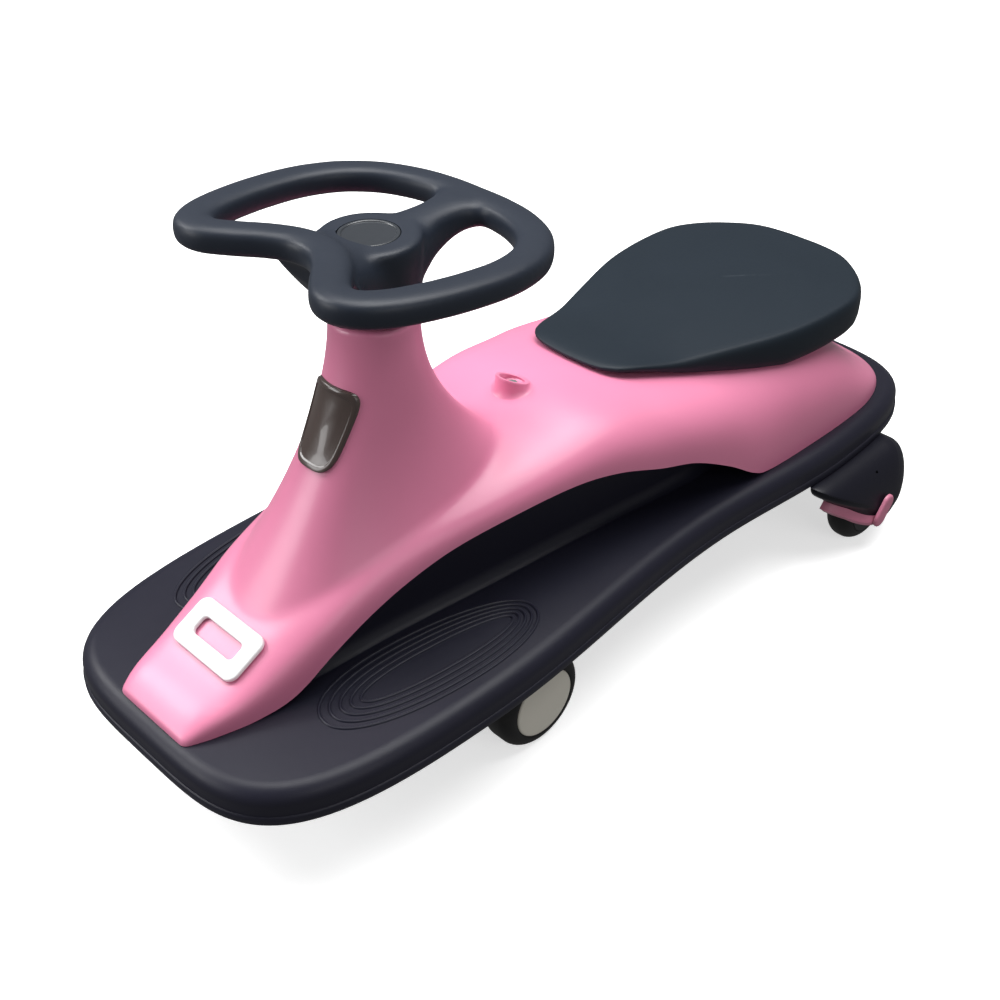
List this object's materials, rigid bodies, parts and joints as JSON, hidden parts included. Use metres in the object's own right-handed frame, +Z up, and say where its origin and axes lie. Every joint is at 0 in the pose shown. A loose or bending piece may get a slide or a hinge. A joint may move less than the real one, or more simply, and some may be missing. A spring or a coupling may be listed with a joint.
{
  "type": "ride-on wiggle car",
  "caption": "Ride-on toy car steered and driven by swinging a wheel on a column, with a footboard tray, moulded shell and seat, a swivelling front axle and hooded rear wheels.",
  "frame": {"origin": "on the floor under the middle of the whole car's box", "axes": "front towards -Y, the rider's left towards +X, +Z up"},
  "size_m": [0.3558, 0.784, 0.4073],
  "materials": {
    "footboard_plastic": "fine-grained moulded black plastic",
    "shell_plastic": "smooth satin pink plastic",
    "seat_plastic": "fine-grained dark slate plastic",
    "wheel_plastic": "satin dark slate plastic",
    "frame_plastic": "white glossy plastic",
    "plate_plastic": "dark brown glossy plastic",
    "cap_plastic": "plain dark satin cap",
    "fender_plastic": "moulded black plastic",
    "trim_plastic": "satin pink plastic",
    "tyre_rubber": "solid soft tyre",
    "hub_plastic": "moulded black plastic",
    "disc_plastic": "satin warm grey plastic",
    "bush_plastic": "natural bearing plastic",
    "steel": "zinc plated"
  },
  "bodies": {
    "chassis": {"base_tray": "footboard_plastic", "body_shell": "shell_plastic", "seat_pad": "seat_plastic", "nose_frame": "frame_plastic", "column_plate": "plate_plastic", "upper_bush": "bush_plastic", "lower_bush": "bush_plastic", "fender_left": "fender_plastic", "fender_right": "fender_plastic", "fender_trim_left": "trim_plastic", "fender_trim_right": "trim_plastic", "rear_axle_left": "steel", "rear_axle_right": "steel", "rear_axle_nuts": "steel", "fender_screws": "steel", "base_screws": "steel", "seat_screws": "steel", "body_screw": "steel"},
    "steering": {"steering_wheel": "wheel_plastic", "hub_cap": "cap_plastic", "steering_shaft": "steel", "wheel_bolt": "steel", "swing_arm": "hub_plastic", "arm_bolt": "steel", "thrust_washer": "steel", "front_axle": "steel", "front_axle_nuts": "steel"},
    "front_wheel_left": {"front_tyre_left": "tyre_rubber", "front_hub_left": "hub_plastic", "front_disc_left": "disc_plastic", "front_bearings_left": "steel"},
    "front_wheel_right": {"front_tyre_right": "tyre_rubber", "front_hub_right": "hub_plastic", "front_disc_right": "disc_plastic", "front_bearings_right": "steel"},
    "rear_wheel_left": {"rear_tyre_left": "tyre_rubber", "rear_hub_left": "hub_plastic", "rear_bearings_left": "steel"},
    "rear_wheel_right": {"rear_tyre_right": "tyre_rubber", "rear_hub_right": "hub_plastic", "rear_bearings_right": "steel"}
  },
  "joints": [
    {"name": "steering_turn", "type": "hinge", "parent": "chassis", "child": "steering", "pos_m": [0, -0.168, 0.2], "axis": [0, 0, 1], "continuous": true},
    {"name": "front_wheel_left_spin", "type": "hinge", "parent": "steering", "child": "front_wheel_left", "pos_m": [0.114, -0.131, 0.0405], "axis": [1, 0, 0], "continuous": true},
    {"name": "front_wheel_right_spin", "type": "hinge", "parent": "steering", "child": "front_wheel_right", "pos_m": [-0.114, -0.131, 0.0405], "axis": [1, 0, 0], "continuous": true},
    {"name": "rear_wheel_left_spin", "type": "hinge", "parent": "chassis", "child": "rear_wheel_left", "pos_m": [0.1485, 0.266, 0.038], "axis": [1, 0, 0], "continuous": true},
    {"name": "rear_wheel_right_spin", "type": "hinge", "parent": "chassis", "child": "rear_wheel_right", "pos_m": [-0.1485, 0.266, 0.038], "axis": [1, 0, 0], "continuous": true}
  ]
}
